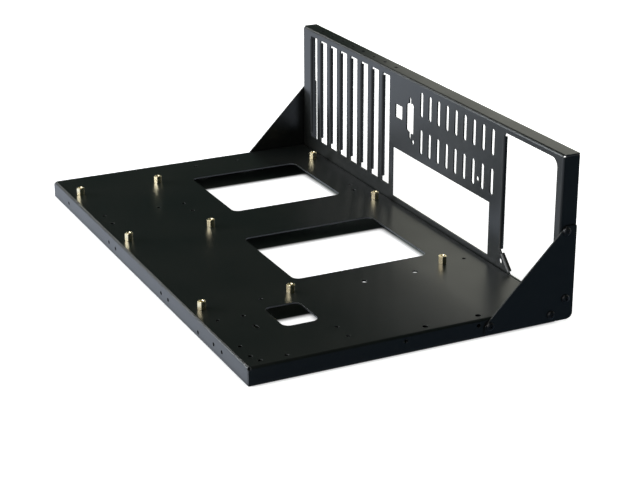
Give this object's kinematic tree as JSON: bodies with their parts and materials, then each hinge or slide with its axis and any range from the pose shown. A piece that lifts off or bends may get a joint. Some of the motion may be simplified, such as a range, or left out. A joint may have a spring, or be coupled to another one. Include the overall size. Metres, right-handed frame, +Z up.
{
  "type": "sheet metal chassis",
  "caption": "Open folded sheet metal chassis: a flat tray with brass board standoffs and an upright rear panel with card slots, vents and connector openings, braced by corner gussets.",
  "frame": {"origin": "centre of the bounding box, on the surface that the tray's rims stand on", "axes": "+X along the rear panel from the expansion slots to the power supply opening, +Y from the front flange to the rear panel, +Z up"},
  "size_m": [0.4424, 0.2636, 0.13],
  "materials": {
    "black_powder_coat": "satin black powder coat on folded steel sheet",
    "black_oxide_steel": "black oxide, slightly oily sheen",
    "standoff_brass": "turned brass, bright"
  },
  "bodies": {
    "root": {"tray": "black_powder_coat", "rear_panel": "black_powder_coat", "gusset_left": "black_powder_coat", "gusset_right": "black_powder_coat", "screw_left_upper": "black_oxide_steel", "screw_left_lower": "black_oxide_steel", "screw_left_rear": "black_oxide_steel", "screw_left_front": "black_oxide_steel", "screw_right_upper": "black_oxide_steel", "screw_right_lower": "black_oxide_steel", "screw_right_rear": "black_oxide_steel", "screw_right_front": "black_oxide_steel", "standoff_rear_left": "standoff_brass", "standoff_rear_middle": "standoff_brass", "standoff_rear_right": "standoff_brass", "standoff_middle_left": "standoff_brass", "standoff_middle_middle": "standoff_brass", "standoff_middle_right": "standoff_brass", "standoff_front_left": "standoff_brass", "standoff_front_middle": "standoff_brass", "standoff_front_right": "standoff_brass"}
  },
  "joints": []
}
